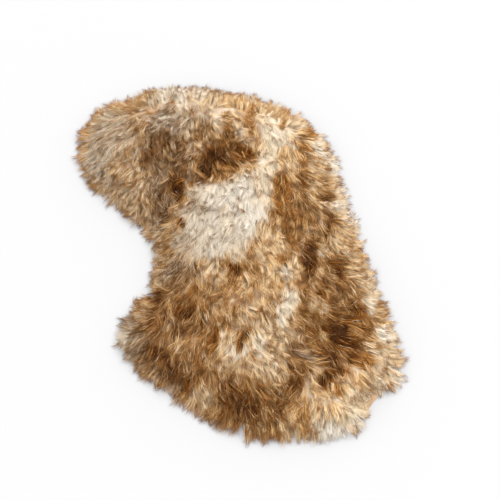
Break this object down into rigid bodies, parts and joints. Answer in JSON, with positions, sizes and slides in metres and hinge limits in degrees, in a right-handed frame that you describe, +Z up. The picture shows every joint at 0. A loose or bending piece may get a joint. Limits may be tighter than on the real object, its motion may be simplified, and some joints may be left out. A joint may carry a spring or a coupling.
{
  "type": "sheepskin rug",
  "caption": "Long-wool sheepskin rug laid out flat: a tanned hide in a pelt's outline under a thick tufted fleece, brown over cream, with loose locks round its rim.",
  "frame": {"origin": "on the floor, under the middle of the rug's footprint", "axes": "+X across the pelt, +Y from the rump to the neck, +Z up from the floor through the wool"},
  "size_m": [0.7704, 1.195, 0.0727],
  "materials": {
    "wool": "long matte wool, cream at the roots and golden to dark brown at the tips",
    "hide": "tanned suede"
  },
  "bodies": {
    "root": {"hide": "hide", "wool": "wool"}
  },
  "joints": []
}
